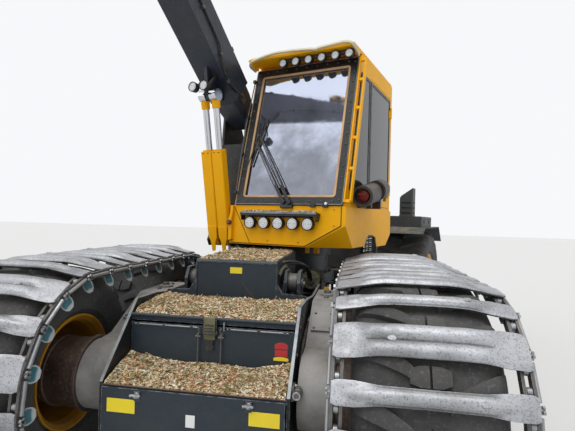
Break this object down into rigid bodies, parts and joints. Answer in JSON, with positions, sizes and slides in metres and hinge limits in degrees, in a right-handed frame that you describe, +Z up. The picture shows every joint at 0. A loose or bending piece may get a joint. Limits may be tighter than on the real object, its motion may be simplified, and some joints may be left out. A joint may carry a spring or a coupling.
{
  "type": "wheeled forestry harvester",
  "caption": "Articulated forestry harvester with tracked front bogies, slewing cab and crane, and a hanging harvester head.",
  "frame": {"origin": "middle of the plan at rest, on the ground", "axes": "+X to the operator's left, +Y to the rear of the front frame, +Z up"},
  "size_m": [4.5755, 8.845, 6.0913],
  "materials": {
    "yellow_paint": "semi-gloss",
    "slate_paint": "semi-gloss, worn",
    "dark_paint": "satin",
    "cast_steel": "worn cast",
    "rod_chrome": "polished",
    "tyre": "matt",
    "glass": "tinted",
    "seat_cloth": "cloth",
    "black_plastic": "matt",
    "engine_iron": "rough"
  },
  "bodies": {
    "chassis": {"front_frame": "slate_paint", "step_box": "slate_paint", "step_sides": "slate_paint", "rear_box": "slate_paint", "pendulum_arms": "slate_paint", "pendulum_cylinders": "dark_paint", "bogie_cases": "slate_paint", "front_rims": "dark_paint", "front_tyres": "tyre", "track_left": "cast_steel", "track_right": "cast_steel"},
    "upper": {"slew_deck": "dark_paint", "skirt": "yellow_paint", "cab_shell": "yellow_paint", "cab_roof": "yellow_paint", "screen_frame": "dark_paint", "cab_glass": "glass", "lamps": "black_plastic", "seat": "seat_cloth", "console": "black_plastic", "extinguishers": "black_plastic", "crane_pillar": "dark_paint"},
    "rear": {"rear_frame": "slate_paint", "engine": "engine_iron", "grille": "dark_paint", "stack": "dark_paint", "tanks": "dark_paint", "fenders": "slate_paint"},
    "cab_door": {"cab_door": "yellow_paint", "door_glass": "glass"},
    "rear_wheel_left": {"rear_rim_left": "dark_paint", "rear_tyre_left": "tyre"},
    "rear_wheel_right": {"rear_rim_right": "dark_paint", "rear_tyre_right": "tyre"},
    "lower_lid": {"lower_lid": "slate_paint"},
    "upper_lid": {"upper_lid": "slate_paint"},
    "lift_barrels": {"lift_barrels": "yellow_paint"},
    "lift_rods": {"lift_rods": "rod_chrome"},
    "boom": {"boom": "slate_paint"},
    "jib_barrel": {"jib_barrel": "yellow_paint"},
    "jib_rod": {"jib_rod": "rod_chrome"},
    "jib": {"jib": "slate_paint"},
    "extension": {"extension": "cast_steel"},
    "swing_link": {"swing_link": "dark_paint"},
    "rotator": {"rotator": "dark_paint"},
    "tilt_bracket": {"tilt_bracket": "slate_paint"},
    "head_frame": {"head_frame": "yellow_paint"},
    "knife_left": {"knife_left": "cast_steel"},
    "knife_right": {"knife_right": "cast_steel"},
    "arm_left": {"arm_left": "slate_paint"},
    "arm_right": {"arm_right": "slate_paint"},
    "feed_left": {"feed_left": "cast_steel"},
    "feed_right": {"feed_right": "cast_steel"},
    "saw_bar": {"saw_bar": "cast_steel"},
    "hood": {"hood": "dark_paint"},
    "steer_barrel_left": {"steer_barrel_left": "yellow_paint"},
    "steer_rod_left": {"steer_rod_left": "rod_chrome"},
    "steer_barrel_right": {"steer_barrel_right": "yellow_paint"},
    "steer_rod_right": {"steer_rod_right": "rod_chrome"}
  },
  "joints": [
    {"name": "frame_steer", "type": "hinge", "parent": "chassis", "child": "rear", "pos_m": [0.075, 1.667, 0.8], "axis": [0, 0, 1], "range_deg": [-22, 58]},
    {"name": "slew", "type": "hinge", "parent": "chassis", "child": "upper", "pos_m": [0.075, 0.897, 1.33], "axis": [0, 0, 1], "continuous": true},
    {"name": "lower_lid_hinge", "type": "hinge", "parent": "chassis", "child": "lower_lid", "pos_m": [0.075, -1.728, 0.472], "axis": [1, 0, 0], "range_deg": [0, 90]},
    {"name": "upper_lid_hinge", "type": "hinge", "parent": "chassis", "child": "upper_lid", "pos_m": [0.075, -1.414, 0.782], "axis": [1, 0, 0], "range_deg": [0, 85]},
    {"name": "cab_door_hinge", "type": "hinge", "parent": "upper", "child": "cab_door", "pos_m": [1.29397, 1.20541, 2.5], "axis": [0, 0, 1], "range_deg": [0, 75]},
    {"name": "boom_lift", "type": "hinge", "parent": "upper", "child": "boom", "pos_m": [-0.31466, 0.57148, 2.77], "axis": [-0.9511, 0.309, 0], "range_deg": [-36, 32]},
    {"name": "lift_barrel_pivot", "type": "hinge", "parent": "upper", "child": "lift_barrels", "pos_m": [-0.40891, 0.28141, 1.482], "axis": [-0.9511, 0.309, 0], "range_deg": [-4.81, 4.33]},
    {"name": "lift_rod_slide", "type": "slide", "parent": "lift_barrels", "child": "lift_rods", "axis": [-0.0576, -0.1771, 0.9825], "range_m": [-0.33846, 0.30107]},
    {"name": "jib_fold", "type": "hinge", "parent": "boom", "child": "jib", "pos_m": [-1.37327, -2.68659, 5.8407], "axis": [0.9511, -0.309, 0], "range_deg": [-100, 17]},
    {"name": "jib_barrel_pivot", "type": "hinge", "parent": "boom", "child": "jib_barrel", "pos_m": [-0.99, -1.50698, 4.98114], "axis": [-0.9511, 0.309, 0], "range_deg": [-0.68, 1.54]},
    {"name": "jib_rod_slide", "type": "slide", "parent": "jib_barrel", "child": "jib_rod", "axis": [-0.2355, -0.7249, 0.6474], "range_m": [-0.31775, 0.05568]},
    {"name": "extension_slide", "type": "slide", "parent": "jib", "child": "extension", "axis": [0.1207, 0.3716, 0.9205], "range_m": [-1.9, 0]},
    {"name": "link_swing", "type": "hinge", "parent": "extension", "child": "swing_link", "pos_m": [-1.70652, -3.71223, 3.30011], "axis": [0.9511, -0.309, 0], "range_deg": [-80, 80]},
    {"name": "rotator_swing", "type": "hinge", "parent": "swing_link", "child": "rotator", "pos_m": [-1.70652, -3.71223, 3.07011], "axis": [0.309, 0.9511, 0], "range_deg": [-35, 35]},
    {"name": "rotator_turn", "type": "hinge", "parent": "rotator", "child": "tilt_bracket", "pos_m": [-1.70652, -3.71223, 2.74011], "axis": [0, 0, 1], "continuous": true},
    {"name": "head_tilt", "type": "hinge", "parent": "tilt_bracket", "child": "head_frame", "pos_m": [-1.70652, -3.71223, 2.55011], "axis": [0.9511, -0.309, 0], "range_deg": [-73, 20]},
    {"name": "knife_left_close", "type": "hinge", "parent": "head_frame", "child": "knife_left", "pos_m": [-1.56387, -3.75858, 2.08011], "axis": [0.309, 0.9511, 0], "range_deg": [-5, 40]},
    {"name": "knife_right_close", "type": "hinge", "parent": "head_frame", "child": "knife_right", "pos_m": [-1.84918, -3.66588, 2.08011], "axis": [-0.309, -0.9511, 0], "range_deg": [-5, 40]},
    {"name": "arm_left_close", "type": "hinge", "parent": "head_frame", "child": "arm_left", "pos_m": [-1.46876, -3.78948, 2.05011], "axis": [0.309, 0.9511, 0], "range_deg": [-10, 20]},
    {"name": "arm_right_close", "type": "hinge", "parent": "head_frame", "child": "arm_right", "pos_m": [-1.94429, -3.63497, 2.05011], "axis": [-0.309, -0.9511, 0], "range_deg": [-10, 20]},
    {"name": "feed_left_turn", "type": "hinge", "parent": "arm_left", "child": "feed_left", "pos_m": [-1.3261, -3.83584, 1.85011], "axis": [0, 0, 1], "continuous": true},
    {"name": "feed_right_turn", "type": "hinge", "parent": "arm_right", "child": "feed_right", "pos_m": [-2.08695, -3.58862, 1.85011], "axis": [0, 0, 1], "continuous": true},
    {"name": "saw_swing", "type": "hinge", "parent": "head_frame", "child": "saw_bar", "pos_m": [-1.26526, -3.22788, 2.06011], "axis": [0.309, 0.9511, 0], "range_deg": [0, 75]},
    {"name": "hood_lift", "type": "hinge", "parent": "rear", "child": "hood", "pos_m": [0.88339, 4.15496, 1.03], "axis": [-0.9511, 0.309, 0], "range_deg": [0, 55]},
    {"name": "rear_wheel_left_turn", "type": "hinge", "parent": "rear", "child": "rear_wheel_left", "pos_m": [1.70784, 2.8188, 0.8], "axis": [-0.9511, 0.309, 0], "continuous": true},
    {"name": "rear_wheel_right_turn", "type": "hinge", "parent": "rear", "child": "rear_wheel_right", "pos_m": [-0.56899, 3.55858, 0.8], "axis": [-0.9511, 0.309, 0], "continuous": true},
    {"name": "steer_barrel_left_pivot", "type": "hinge", "parent": "chassis", "child": "steer_barrel_left", "pos_m": [0.515, 0.887, 0.8], "axis": [0, 0, 1], "range_deg": [-7.38, 18.63]},
    {"name": "steer_rod_left_slide", "type": "slide", "parent": "steer_barrel_left", "child": "steer_rod_left", "axis": [0.0567, 0.9984, 0], "range_m": [-0.15457, 0.40423]},
    {"name": "steer_barrel_right_pivot", "type": "hinge", "parent": "chassis", "child": "steer_barrel_right", "pos_m": [-0.365, 0.887, 0.8], "axis": [0, 0, 1], "range_deg": [-7.1, 17.91]},
    {"name": "steer_rod_right_slide", "type": "slide", "parent": "steer_barrel_right", "child": "steer_rod_right", "axis": [0.1386, 0.9904, 0], "range_m": [-0.42428, 0.16217]}
  ],
  "couplings": [
    {"joint": "lift_barrel_pivot", "follows": "boom_lift", "ratio": 0.11968},
    {"joint": "lift_rod_slide", "follows": "boom_lift", "m_per_rad": 0.53549},
    {"joint": "jib_barrel_pivot", "follows": "jib_fold", "ratio": -0.010404},
    {"joint": "jib_rod_slide", "follows": "jib_fold", "m_per_rad": 0.18091},
    {"joint": "steer_barrel_left_pivot", "follows": "frame_steer", "ratio": 0.31262},
    {"joint": "steer_rod_left_slide", "follows": "frame_steer", "m_per_rad": 0.39735},
    {"joint": "steer_barrel_right_pivot", "follows": "frame_steer", "ratio": 0.30011},
    {"joint": "steer_rod_right_slide", "follows": "frame_steer", "m_per_rad": -0.41715}
  ]
}
